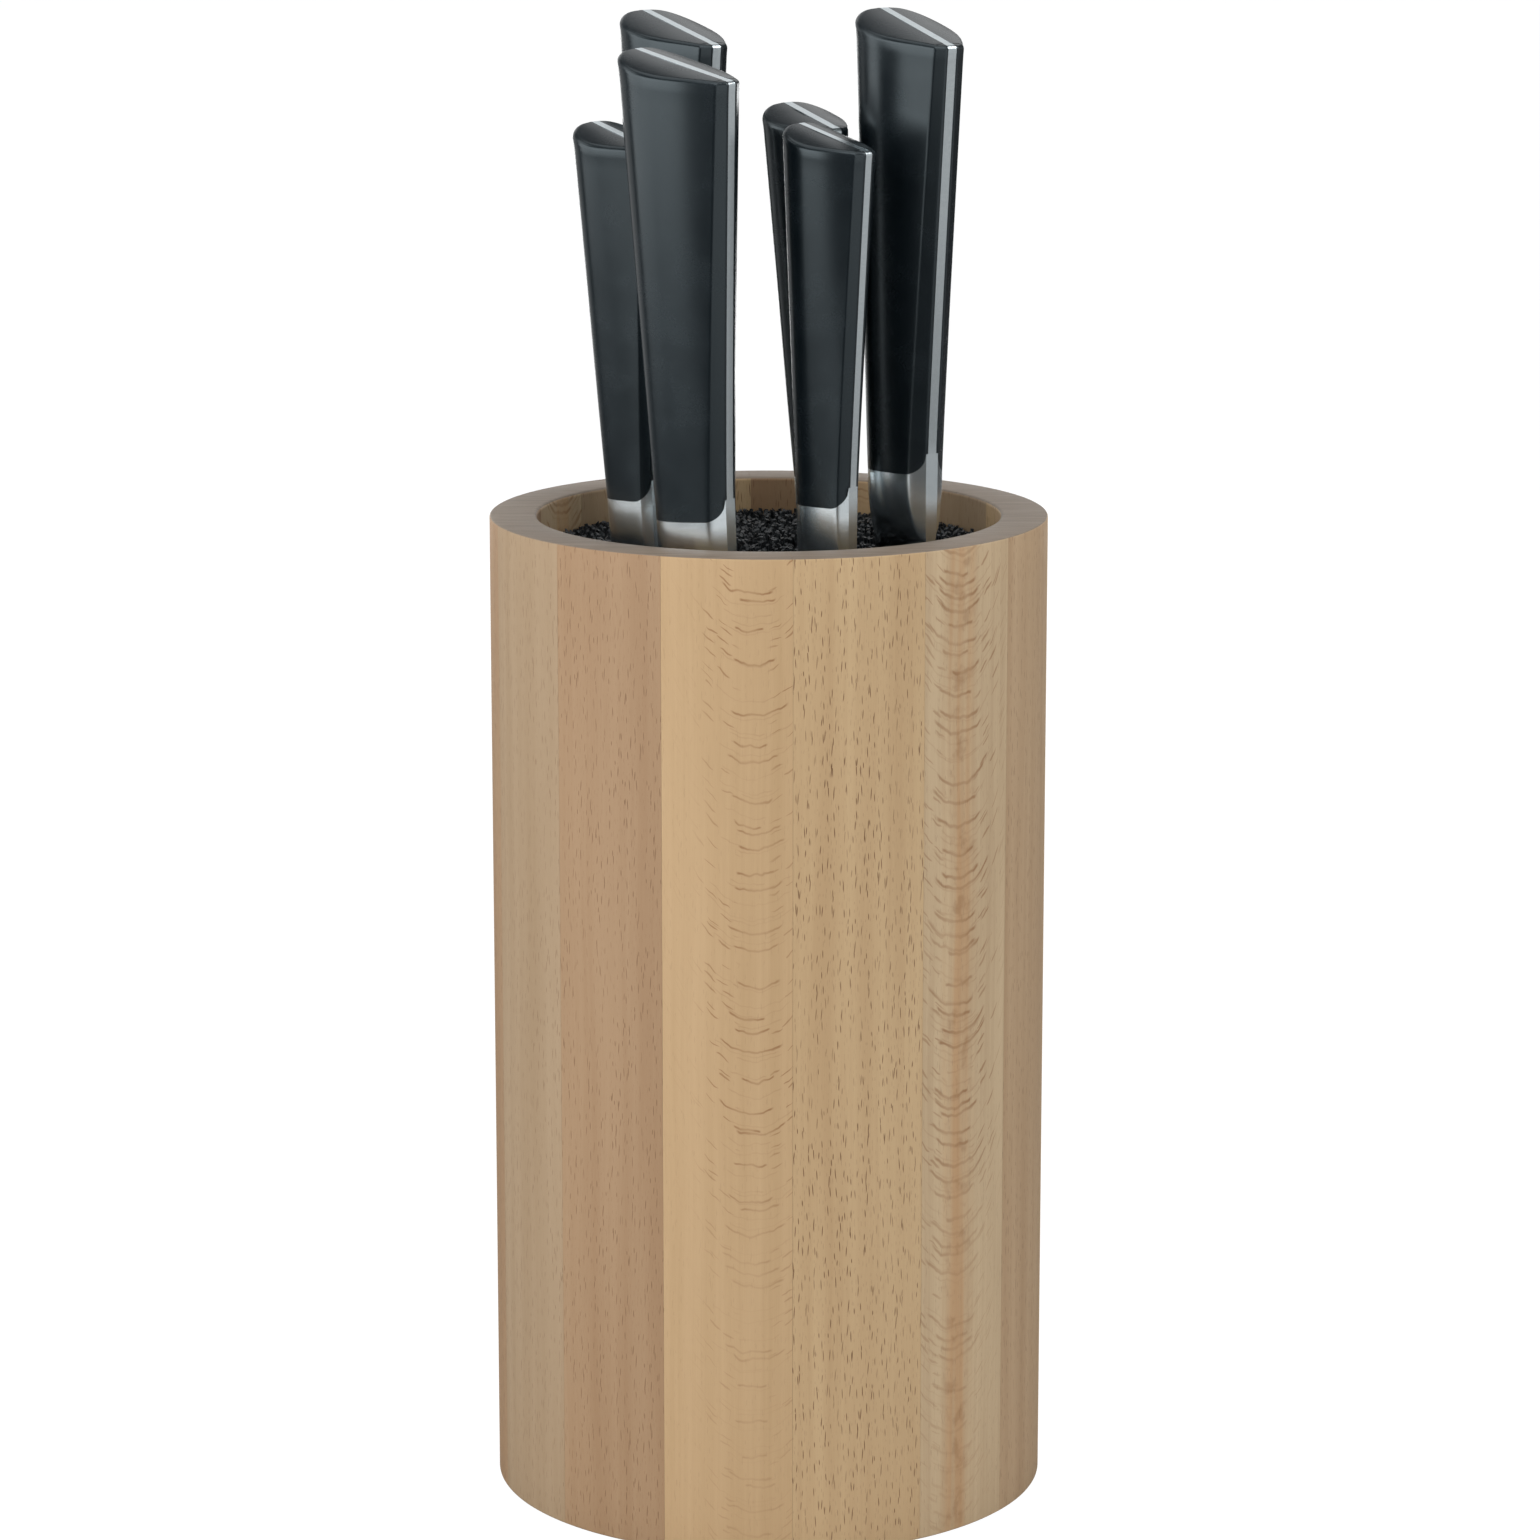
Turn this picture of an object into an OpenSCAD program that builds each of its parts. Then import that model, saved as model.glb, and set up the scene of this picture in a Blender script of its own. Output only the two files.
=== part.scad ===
// Round coopered beech knife block with a lift-out bristle insert and six forged knives.
// Row frame: millimetres, origin at the centre of the underside, +Z up, -Y to the front.
// The knives stand point down. Each one has its own local frame: +X towards the spine,
// +Z along the handle, and the origin where the bolster meets the blade.

/* [Block] */
// Outside radius of the stave ring
block_radius = 65; // [55:0.5:80]
// Thickness of the stave ring
wall = 11; // [8:0.5:15]
// Height of the rim above the table
block_height = 233; // [200:1:260]
// Chamfer on the inner edge of the rim
rim_inner_chamfer = 0.9; // [0.3:0.1:3]
// Chamfer on the outer edges of the rim and the underside
rim_outer_chamfer = 0.5; // [0.2:0.1:3]
// Turn of the first stave joint about Z
stave_turn = -111.7; // [-180:0.1:180]

/* [Base and feet] */
// Thickness of the glued-in base disc
base_thickness = 9; // [6:0.5:15]
// Depth of the rebate that takes the disc, from the inner wall
rebate = 4; // [2:0.5:6]
// Glue gap around the disc
glue_gap = 0.1; // [0:0.05:0.3]
// Radius of a foot pad
foot_radius = 8; // [5:0.5:12]
// How far the pads stand out under the base
foot_stand = 0.8; // [0.5:0.1:3]
// Depth of the pocket for a pad
foot_pocket = 1.5; // [0.5:0.1:3]
// Radius of the circle the pads stand on
foot_circle = 44; // [30:1:50]

/* [Bristle insert] */
// Radial gap between the insert and the wall
insert_gap = 0.8; // [0.4:0.1:2]
// Thickness of the plate that holds the bristles
plate_thickness = 4; // [3:0.5:8]
// Height of the bristle tips above the table
bristle_top = 226; // [200:1:250]
// Gap between a blade and its slot in the bristles
slot_gap = 0.4; // [0.3:0.1:1]

/* [Handles] */
// Height of the bolster, from the blade to the scales
bolster_height = 14; // [10:0.5:20]
// Slant of the butt in degrees
butt_slant = 13.7; // [0:0.1:20]
// Rise of the domed butt
butt_dome = 1.8; // [0:0.1:3]
// Width of the rounded lower corner of a scale beside the spine
corner_width = 3.2; // [1:0.1:6]
// Height of that corner
corner_height = 4.8; // [1:0.1:8]
// Share of the handle's flare that is on the spine side
spine_flare = 0.59; // [0:0.01:1]
// Radius of the hidden tang pins
pin_radius = 2.4; // [1.5:0.1:3]

/* [Hidden] */
$fn = 96;
// Widths of the staves round the ring, in degrees; hand-cut staves differ a little
STAVE_WIDTHS = [26.5, 27.8, 24, 25.5, 26, 25, 26.5, 25, 26, 25.3, 25.5, 25.5, 26, 25.4];
BASE_Z = foot_stand;
PLATE_Z = BASE_Z + base_thickness + 0.2;
INNER_RADIUS = block_radius - wall;
INSERT_RADIUS = INNER_RADIUS - insert_gap;
PIN_CLEARANCE = 0.05;
GLUE_BED = 0.02;
SERRATION_RADIUS = 6;
SERRATION_DEPTH = 0.9;
TIP_WIDTH = 2.5;
// Width that the bevel beside the spine keeps where the bolster meets the blade
THIN_BEVEL = 0.5;

WOOD = [0.80, 0.66, 0.51];
PLASTIC = [0.10, 0.11, 0.12];
STEEL = [0.72, 0.73, 0.74];
RUBBER = [0.20, 0.20, 0.20];

// Handle sizes: scale length at the spine, width at the bolster and at the butt,
// half thickness at the bolster and at the butt, half thickness of the tang, width of the
// bevel beside the spine at the bolster and at the butt, its rise there, and how far the
// bolster reaches down at the spine and at the belly.
LARGE = [98.5, 18.3, 27.6, 7.9, 11.7, 1.15, 2.55, 1.15, 3.35, 2.4, 1.6, 7];
SMALL = [80.9, 14.5, 20.6, 4.9, 9.8, 1.05, 1.75, 1.0, 2.3, 2.1, 1.2, 5];

// Blades: length, width, width right below the bolster's choil, start of the drop of the
// spine and of the sweep of the edge (shares of the length), drop of the spine, sweep
// exponent, scallops.
CHEF = [200, 45, 10, 0.45, 0.30, 9, 2.2, false];
CARVING = [200, 21, 9, 0.70, 0.62, 5, 2.0, false];
BREAD = [200, 22.5, 9, 0.90, 0.86, 3, 2.4, true];
PARING = [90, 18.5, 7, 0.50, 0.35, 5, 2.0, false];
UTILITY = [120, 23, 7, 0.55, 0.45, 6, 2.2, false];
TOMATO = [120, 19, 7, 0.85, 0.75, 5, 2.4, true];

// Knives: foot of the bolster, turn of the spine about Z, lean, handle size, blade.
CHEF_KNIFE = [[32.2, -6.5, 230.2], -55.3, [0.0081, -0.0067], LARGE, CHEF];
CARVING_KNIFE = [[-15.1, -38.2, 224.0], -38.3, [-0.0395, -0.0009], LARGE, CARVING];
BREAD_KNIFE = [[-21.4, 30.2, 227.4], -50.3, [0.0003, 0.0055], LARGE, BREAD];
PARING_KNIFE = [[-29.8, -16.8, 225.1], -47.6, [-0.0381, -0.0011], SMALL, PARING];
UTILITY_KNIFE = [[12.9, -5.7, 228.4], -55.2, [-0.0362, 0.0085], SMALL, UTILITY];
TOMATO_KNIFE = [[13.4, -30.7, 225.7], -39.4, [0.0065, -0.0029], SMALL, TOMATO];
KNIVES = [CHEF_KNIFE, CARVING_KNIFE, BREAD_KNIFE, PARING_KNIFE, UTILITY_KNIFE, TOMATO_KNIFE];

function mix(a, b, t) = a + (b - a) * t;
function unit(v) = v / norm(v);

// ---- Handle section -------------------------------------------------------------------

// The section runs from the spine (0) to the belly (1): a flat bevel beside the spine,
// a broad convex face, and a blunt round belly. Stations up to BEVEL_END are squeezed or
// spread to the bevel's real width.
BEVEL_END = 0.16;
THICKEST = 0.66;
STATIONS = concat(
    [0, 0.4 * BEVEL_END],
    [for (i = [0 : 2]) mix(BEVEL_END, THICKEST, i / 3)],
    [for (a = [0 : 22.5 : 90]) mix(THICKEST, 1, sin(a))]
);
COLUMNS = len(STATIONS);

function belly_half(half) = 0.3 * half;
function spine_half(size) = size[5] + 0.5;

// Share of the width at a station, when the bevel takes the given share
function share(s, bevel) =
    s <= BEVEL_END ? bevel * s / BEVEL_END
    : s <= THICKEST ? mix(bevel, THICKEST, (s - BEVEL_END) / (THICKEST - BEVEL_END))
    : s;

function half_thickness(s, half, spine, crest) =
    s <= BEVEL_END ? mix(spine, crest, s / BEVEL_END)
    : s <= THICKEST
        ? mix(crest, half, sin(90 * (s - BEVEL_END) / (THICKEST - BEVEL_END)))
    : mix(belly_half(half), half, sqrt(max(0, 1 - pow((s - THICKEST) / (1 - THICKEST), 2))));

// ---- Handle along its length ----------------------------------------------------------

HANDLE_ROWS = [for (i = [0 : 5]) i / 5];

function width_at(size, t) = mix(size[1], size[2], pow(t, 1.15));
function half_at(size, t) = mix(size[3], size[4], pow(t, 0.9));
function spine_x(size, t) = size[1] / 2 + (width_at(size, t) - size[1]) * spine_flare;
function share_at(size, t, s) = share(s, mix(size[6], size[7], t) / width_at(size, t));
function thickness_at(size, t, s) =
    half_thickness(s, half_at(size, t), spine_half(size),
        spine_half(size) + mix(size[8], size[9], t));

// Height of the line where the scale meets the bolster, rounded up beside the spine
function shoulder_z(size, f) =
    let (s = min(f * size[1] / corner_width, 1))
    bolster_height + corner_height * (1 - sqrt(1 - pow(1 - s, 2)));

function butt_z(size, f, y) =
    bolster_height + size[0] + f * size[2] * tan(butt_slant)
    - butt_dome * pow(y / size[4], 2);

function handle_z(size, f, t, y) = mix(shoulder_z(size, f) + GLUE_BED, butt_z(size, f, y), t);

function handle_point(size, f, t, y, side) =
    [spine_x(size, t) - f * width_at(size, t), side * y, handle_z(size, f, t, y)];

function last(i) = COLUMNS - 1 - i;

// Ring of one scale at row t: the round outer face, then the flat one on the tang
function scale_ring(size, t, side) =
    let (
        outer = [for (s = STATIONS)
            handle_point(size, share_at(size, t, s), t, thickness_at(size, t, s), side)],
        inner = [for (s = STATIONS) handle_point(size, share_at(size, t, s), t, size[5], side)],
        there = side > 0 ? outer : inner,
        back = side > 0 ? inner : outer
    )
    concat(there, [for (i = [0 : COLUMNS - 1]) back[last(i)]]);

// ---- Forged blade, bolster and tang ---------------------------------------------------

BLADE_ROWS = [for (i = [10 : -1 : 1]) 1 - pow(1 - i / 10, 1.25)];

function drop_at(blade, u) =
    blade[5] * pow(max(0, (u - blade[3]) / (1 - blade[3])), 2);
function edge_at(blade, size, u) =
    let (sweep = pow(max(0, (u - blade[4]) / (1 - blade[4])), blade[6]))
    mix(blade[1], blade[5] + TIP_WIDTH, sweep);
function blade_half(f, u) = mix(mix(1.3, 0.6, u), 0.2, pow(f, 1.3));

// Both sides of a symmetric ring, from the spine round the +Y side and back
function closed_ring(points) =
    concat(points, [for (i = [0 : COLUMNS - 1])
        [points[last(i)][0], -points[last(i)][1], points[last(i)][2]]]);

function blade_ring(blade, size, u, width) =
    let (x = size[1] / 2 - drop_at(blade, u), w = width - drop_at(blade, u))
    closed_ring([for (f = STATIONS) [x - f * w, blade_half(f, u), -u * blade[0]]]);

// How far below its foot the bolster reaches: more towards the belly
function bolster_reach(size, f) = mix(size[10], size[11], pow(f, 1.5));

function bolster_ring(size, a) =
    let (bevel = mix(THIN_BEVEL, size[6], cos(a)) / size[1])
    closed_ring([for (s = STATIONS)
        let (f = share(s, bevel))
        [
            size[1] / 2 - f * size[1],
            mix(blade_half(f, 0), thickness_at(size, 0, s), cos(a)),
            a == 0 ? shoulder_z(size, f)
                : bolster_height - (bolster_height + bolster_reach(size, f)) * sin(a)
        ]]);

function tang_ring(size, t) =
    closed_ring([for (s = STATIONS)
        let (p = handle_point(size, share_at(size, t, s), t, 0, 1)) [p[0], size[5], p[2]]]);

function forging_rings(size, blade) =
    let (choil = blade[2] / blade[0], heel = choil + 1 / blade[0])
    concat(
        [for (u = BLADE_ROWS) if (u > 1.5 * heel)
            blade_ring(blade, size, u, edge_at(blade, size, u))],
        [blade_ring(blade, size, heel, edge_at(blade, size, heel))],
        [blade_ring(blade, size, choil, size[1])],
        [for (a = [90, 75, 60, 40, 20, 0]) bolster_ring(size, a)],
        [for (t = HANDLE_ROWS) tang_ring(size, t)]
    );

// ---- Solids ---------------------------------------------------------------------------

// Skin over rings of equal length that run counter-clockwise and rise one over another
module loft(rings) {
    around = 2 * COLUMNS;
    function at(row, i) = row * around + i % around;
    function cap(row, i) =
        [at(row, i), at(row, i + 1), at(row, around - 2 - i), at(row, around - 1 - i)];
    top = len(rings) - 1;
    sides = [for (row = [0 : top - 1]) for (i = [0 : around - 1]) each [
        [at(row, i), at(row + 1, i), at(row + 1, i + 1)],
        [at(row, i), at(row + 1, i + 1), at(row, i + 1)]
    ]];
    bottom_cap = [for (i = [0 : COLUMNS - 2]) each [
        [cap(0, i)[0], cap(0, i)[1], cap(0, i)[2]],
        [cap(0, i)[0], cap(0, i)[2], cap(0, i)[3]]
    ]];
    top_cap = [for (i = [0 : COLUMNS - 2]) each [
        [cap(top, i)[2], cap(top, i)[1], cap(top, i)[0]],
        [cap(top, i)[3], cap(top, i)[2], cap(top, i)[0]]
    ]];
    polyhedron(
        points = [for (ring = rings) each ring],
        faces = concat(sides, bottom_cap, top_cap)
    );
}

// Puts local geometry at a knife's place, turn and lean
module place(knife) {
    up = unit([knife[2][0], knife[2][1], 1]);
    flat = [cos(knife[1]), sin(knife[1]), 0];
    spine = unit(flat - up * (up * flat));
    side = cross(up, spine);
    multmatrix([
        [spine[0], side[0], up[0], knife[0][0]],
        [spine[1], side[1], up[1], knife[0][1]],
        [spine[2], side[2], up[2], knife[0][2]],
        [0, 0, 0, 1]
    ])
    children();
}

// Three rods across the handle, halfway between spine and belly
module rods(size, radius, half_length) {
    for (t = [0.2, 0.5, 0.8]) {
        translate([spine_x(size, t) - 0.52 * width_at(size, t), 0, handle_z(size, 0.52, t, 0)])
            rotate([90, 0, 0])
                cylinder(h = 2 * half_length, r = radius, center = true, $fn = 32);
    }
}

function pin_half_length(size) = size[5] + 0.42 * size[3];

// Round bites along a serrated edge
module scallops(size, blade) {
    edge = size[1] / 2 - blade[1];
    reach = blade[4] * blade[0] - 8;
    pitch = 2 * sqrt(pow(SERRATION_RADIUS, 2) - pow(SERRATION_RADIUS - SERRATION_DEPTH, 2));
    for (z = [blade[2] + 6 : pitch : reach]) {
        translate([edge + SERRATION_DEPTH - SERRATION_RADIUS, 0, -z - pitch / 2])
            rotate([90, 0, 0])
                cylinder(h = 6, r = SERRATION_RADIUS, center = true, $fn = 32);
    }
}

module blade(knife) {
    size = knife[3];
    place(knife)
        difference() {
            loft(forging_rings(size, knife[4]));
            rods(size, pin_radius + PIN_CLEARANCE, 10);
            if (knife[4][7]) scallops(size, knife[4]);
        }
}

module scale_half(knife, side) {
    size = knife[3];
    place(knife)
        difference() {
            loft([for (t = HANDLE_ROWS) scale_ring(size, t, side)]);
            rods(size, pin_radius + PIN_CLEARANCE, pin_half_length(size) + PIN_CLEARANCE);
        }
}

module pins(knife) {
    place(knife) rods(knife[3], pin_radius, pin_half_length(knife[3]));
}

// Room for one knife in the bristles: a slot for the blade and a seat for the bolster
module knife_room(knife) {
    size = knife[3];
    blade = knife[4];
    length = blade[0] + 2;
    width = max(blade[1], size[1]) + 2 * slot_gap;
    thickness = 2 * (blade_half(0, 0) + slot_gap);
    seat = [for (s = STATIONS)
        [size[1] / 2 - share_at(size, 0, s) * size[1], thickness_at(size, 0, s)]];
    place(knife) {
        translate([size[1] / 2 + slot_gap - width, -thickness / 2, -length])
            cube([width, thickness, length + 20]);
        translate([0, 0, -size[11] - slot_gap])
            linear_extrude(height = size[11] + 20)
                scale([1 + 2 * slot_gap / size[1], 1 + slot_gap / size[3]])
                    polygon(concat(seat, [for (i = [0 : COLUMNS - 1])
                        [seat[last(i)][0], -seat[last(i)][1]]]));
    }
}

// ---- Wooden housing -------------------------------------------------------------------

// Outline of the wall in the radius and height plane, with the rebate for the base disc
WALL_OUTLINE = [
    [INNER_RADIUS, BASE_Z + base_thickness],
    [INNER_RADIUS + rebate, BASE_Z + base_thickness],
    [INNER_RADIUS + rebate, BASE_Z],
    [block_radius - rim_outer_chamfer, BASE_Z],
    [block_radius, BASE_Z + rim_outer_chamfer],
    [block_radius, block_height - rim_outer_chamfer],
    [block_radius - rim_outer_chamfer, block_height],
    [INNER_RADIUS + rim_inner_chamfer, block_height],
    [INNER_RADIUS, block_height - rim_inner_chamfer]
];

function stave_start(index) =
    index == 0 ? stave_turn : stave_start(index - 1) + STAVE_WIDTHS[index - 1];

module stave(index) {
    color(WOOD)
        rotate([0, 0, stave_start(index)])
            rotate_extrude(angle = STAVE_WIDTHS[index])
                polygon(WALL_OUTLINE);
}

module at_foot(index) {
    rotate([0, 0, 45 + 90 * index])
        translate([foot_circle, 0, 0])
            children();
}

module foot(index) {
    color(RUBBER)
        at_foot(index)
            cylinder(h = foot_stand + foot_pocket, r = foot_radius);
}

module stave_01() { stave(0); }
module stave_02() { stave(1); }
module stave_03() { stave(2); }
module stave_04() { stave(3); }
module stave_05() { stave(4); }
module stave_06() { stave(5); }
module stave_07() { stave(6); }
module stave_08() { stave(7); }
module stave_09() { stave(8); }
module stave_10() { stave(9); }
module stave_11() { stave(10); }
module stave_12() { stave(11); }
module stave_13() { stave(12); }
module stave_14() { stave(13); }

module base_disc() {
    color(WOOD)
        difference() {
            translate([0, 0, BASE_Z])
                cylinder(h = base_thickness, r = INNER_RADIUS + rebate - glue_gap);
            for (i = [0 : 3])
                at_foot(i)
                    translate([0, 0, BASE_Z - 1])
                        cylinder(h = foot_pocket + 1, r = foot_radius + glue_gap);
        }
}

module foot_1() { foot(0); }
module foot_2() { foot(1); }
module foot_3() { foot(2); }
module foot_4() { foot(3); }

// ---- Bristle insert -------------------------------------------------------------------

module insert_plate() {
    color(PLASTIC)
        translate([0, 0, PLATE_Z])
            cylinder(h = plate_thickness, r = INSERT_RADIUS);
}

module bristle_pack() {
    color(PLASTIC)
        difference() {
            translate([0, 0, PLATE_Z + plate_thickness])
                cylinder(h = bristle_top - PLATE_Z - plate_thickness, r = INSERT_RADIUS);
            for (knife = KNIVES) knife_room(knife);
        }
}

// ---- Knives ---------------------------------------------------------------------------

module chef_blade() { color(STEEL) blade(CHEF_KNIFE); }
module chef_scale_left() { color(PLASTIC) scale_half(CHEF_KNIFE, -1); }
module chef_scale_right() { color(PLASTIC) scale_half(CHEF_KNIFE, 1); }
module chef_pins() { color(STEEL) pins(CHEF_KNIFE); }

module carving_blade() { color(STEEL) blade(CARVING_KNIFE); }
module carving_scale_left() { color(PLASTIC) scale_half(CARVING_KNIFE, -1); }
module carving_scale_right() { color(PLASTIC) scale_half(CARVING_KNIFE, 1); }
module carving_pins() { color(STEEL) pins(CARVING_KNIFE); }

module bread_blade() { color(STEEL) blade(BREAD_KNIFE); }
module bread_scale_left() { color(PLASTIC) scale_half(BREAD_KNIFE, -1); }
module bread_scale_right() { color(PLASTIC) scale_half(BREAD_KNIFE, 1); }
module bread_pins() { color(STEEL) pins(BREAD_KNIFE); }

module paring_blade() { color(STEEL) blade(PARING_KNIFE); }
module paring_scale_left() { color(PLASTIC) scale_half(PARING_KNIFE, -1); }
module paring_scale_right() { color(PLASTIC) scale_half(PARING_KNIFE, 1); }
module paring_pins() { color(STEEL) pins(PARING_KNIFE); }

module utility_blade() { color(STEEL) blade(UTILITY_KNIFE); }
module utility_scale_left() { color(PLASTIC) scale_half(UTILITY_KNIFE, -1); }
module utility_scale_right() { color(PLASTIC) scale_half(UTILITY_KNIFE, 1); }
module utility_pins() { color(STEEL) pins(UTILITY_KNIFE); }

module tomato_blade() { color(STEEL) blade(TOMATO_KNIFE); }
module tomato_scale_left() { color(PLASTIC) scale_half(TOMATO_KNIFE, -1); }
module tomato_scale_right() { color(PLASTIC) scale_half(TOMATO_KNIFE, 1); }
module tomato_pins() { color(STEEL) pins(TOMATO_KNIFE); }

stave_01();
stave_02();
stave_03();
stave_04();
stave_05();
stave_06();
stave_07();
stave_08();
stave_09();
stave_10();
stave_11();
stave_12();
stave_13();
stave_14();
base_disc();
foot_1();
foot_2();
foot_3();
foot_4();
insert_plate();
bristle_pack();
chef_blade();
chef_scale_left();
chef_scale_right();
chef_pins();
carving_blade();
carving_scale_left();
carving_scale_right();
carving_pins();
bread_blade();
bread_scale_left();
bread_scale_right();
bread_pins();
paring_blade();
paring_scale_left();
paring_scale_right();
paring_pins();
utility_blade();
utility_scale_left();
utility_scale_right();
utility_pins();
tomato_blade();
tomato_scale_left();
tomato_scale_right();
tomato_pins();
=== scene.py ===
"""Looks for the round knife block: beech staves, bristles, satin steel and black handles."""

import math
import random

import bmesh
import bpy
from mathutils import Matrix, Vector


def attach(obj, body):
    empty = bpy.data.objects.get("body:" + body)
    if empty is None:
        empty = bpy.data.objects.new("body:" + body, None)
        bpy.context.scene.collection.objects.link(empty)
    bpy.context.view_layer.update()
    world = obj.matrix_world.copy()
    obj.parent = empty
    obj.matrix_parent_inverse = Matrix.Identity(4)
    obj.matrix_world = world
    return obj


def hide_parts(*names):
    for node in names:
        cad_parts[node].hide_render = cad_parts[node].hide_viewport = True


MM = 0.001


# ---- Dimensions shared with the CAD part, in millimetres -------------------------------

BLOCK_RADIUS = 65.0
WALL = 11.0
INNER_RADIUS = BLOCK_RADIUS - WALL
BLOCK_HEIGHT = 233.0
BASE_Z = 0.8
BASE_THICKNESS = 9.0
REBATE = 4.0
FOOT_RADIUS = 8.0
FOOT_CIRCLE = 44.0
FOOT_TOP = 2.3
PLATE_TOP = 14.0
INSERT_RADIUS = 53.2
BRISTLE_TOP = 226.0

STAVE_TURN = -111.7
STAVE_WIDTHS = (26.5, 27.8, 24, 25.5, 26, 25, 26.5, 25, 26, 25.3, 25.5, 25.5, 26, 25.4)

BOLSTER_HEIGHT = 14.0
BUTT_SLANT = math.radians(13.7)
BUTT_DOME = 1.8
CORNER_WIDTH = 3.2
CORNER_HEIGHT = 4.8
SPINE_FLARE = 0.59
BEVEL_END = 0.16
THICKEST = 0.66
TANG_LAND = 0.5
CREASE_SOFT = 0.045
GLUE_LINE = 0.02

# Points closer than MERGE are one, and slivers narrower than SLIVER are dissolved
MERGE = 0.0005
SLIVER = 0.0004


class Handle:
    """One size of handle, in millimetres.

    The pairs are at the bolster and at the butt, and half is half the thickness. tang is
    half the tang's thickness, bevel the bevel's width beside it and rise how far the bevel
    climbs. reach is how far the bolster goes down at the spine and at the belly."""

    def __init__(self, length, width, half, tang, bevel, rise, reach):
        self.length = length
        self.width, self.butt_width = width
        self.half, self.butt_half = half
        self.tang = tang
        self.bevel, self.butt_bevel = bevel
        self.rise, self.butt_rise = rise
        self.reach_spine, self.reach_belly = reach


class Blade:
    """Outline of one blade, in millimetres.

    The spine drops by drop beyond the share drop_from of the length, and the edge sweeps
    up beyond the share sweep_from, along a curve of the given power."""

    def __init__(self, length, width, choil, drop_from, sweep_from, drop, power, serrated):
        self.length = length
        self.width = width
        self.choil = choil
        self.drop_from = drop_from
        self.sweep_from = sweep_from
        self.drop = drop
        self.power = power
        self.serrated = serrated


LARGE = Handle(98.5, (18.3, 27.6), (7.9, 11.7), 1.15, (2.55, 1.15), (3.35, 2.4), (1.6, 7.0))
SMALL = Handle(80.9, (14.5, 20.6), (4.9, 9.8), 1.05, (1.75, 1.0), (2.3, 2.1), (1.2, 5.0))
TIP_WIDTH = 2.5
SPINE_HALF = 1.3
TIP_SPINE_HALF = 0.6
EDGE_HALF = 0.2
THIN_BEVEL = 0.5
SERRATION_RADIUS = 6.0
SERRATION_DEPTH = 0.9
SERRATION_GAP = 6

# Name, foot of the bolster, turn of the spine, lean, handle and blade
KNIVES = (
    ("chef", (32.2, -6.5, 230.2), -55.3, (0.0081, -0.0067), LARGE,
     Blade(200, 45, 10, 0.45, 0.30, 9, 2.2, False)),
    ("carving", (-15.1, -38.2, 224.0), -38.3, (-0.0395, -0.0009), LARGE,
     Blade(200, 21, 9, 0.70, 0.62, 5, 2.0, False)),
    ("bread", (-21.4, 30.2, 227.4), -50.3, (0.0003, 0.0055), LARGE,
     Blade(200, 22.5, 9, 0.90, 0.86, 3, 2.4, True)),
    ("paring", (-29.8, -16.8, 225.1), -47.6, (-0.0381, -0.0011), SMALL,
     Blade(90, 18.5, 7, 0.50, 0.35, 5, 2.0, False)),
    ("utility", (12.9, -5.7, 228.4), -55.2, (-0.0362, 0.0085), SMALL,
     Blade(120, 23, 7, 0.55, 0.45, 6, 2.2, False)),
    ("tomato", (13.4, -30.7, 225.7), -39.4, (0.0065, -0.0029), SMALL,
     Blade(120, 19, 7, 0.85, 0.75, 5, 2.4, True)),
)


# ---- Small helpers ---------------------------------------------------------------------

def mix(a, b, t):
    """The value a share t of the way from a to b."""
    return a + (b - a) * t


def linear(red, green, blue):
    """Linear colour from 8-bit display values."""
    out = []
    for value in (red, green, blue):
        c = value / 255
        out.append(c / 12.92 if c <= 0.04045 else ((c + 0.055) / 1.055) ** 2.4)
    return (*out, 1.0)


def clean(bm):
    """Joins points that lie together and dissolves slivers."""
    bmesh.ops.remove_doubles(bm, verts=bm.verts, dist=MERGE)
    bmesh.ops.dissolve_degenerate(bm, dist=SLIVER, edges=bm.edges)


def mesh_object(name, bm, materials, sharp=32.0):
    """Object from a bmesh in millimetres, smooth apart from edges sharper than the angle."""
    clean(bm)
    bmesh.ops.recalc_face_normals(bm, faces=bm.faces)
    bmesh.ops.scale(bm, vec=(MM, MM, MM), verts=bm.verts)
    limit = math.radians(sharp)
    for face in bm.faces:
        face.smooth = True
    for edge in bm.edges:
        if len(edge.link_faces) == 2:
            edge.smooth = edge.calc_face_angle(0.0) < limit
    mesh = bpy.data.meshes.new(name)
    bm.to_mesh(mesh)
    bm.free()
    obj = bpy.data.objects.new(name, mesh)
    bpy.context.scene.collection.objects.link(obj)
    for material in materials:
        mesh.materials.append(material)
    return obj


def give(piece, body, node):
    """Puts a finished piece in the place of a CAD node."""
    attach(piece, body)
    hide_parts(node)


def recoat(node, material):
    """Gives a CAD node that stays in view a material."""
    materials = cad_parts[node].data.materials
    materials.clear()
    materials.append(material)


# ---- Node helpers ----------------------------------------------------------------------

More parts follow.
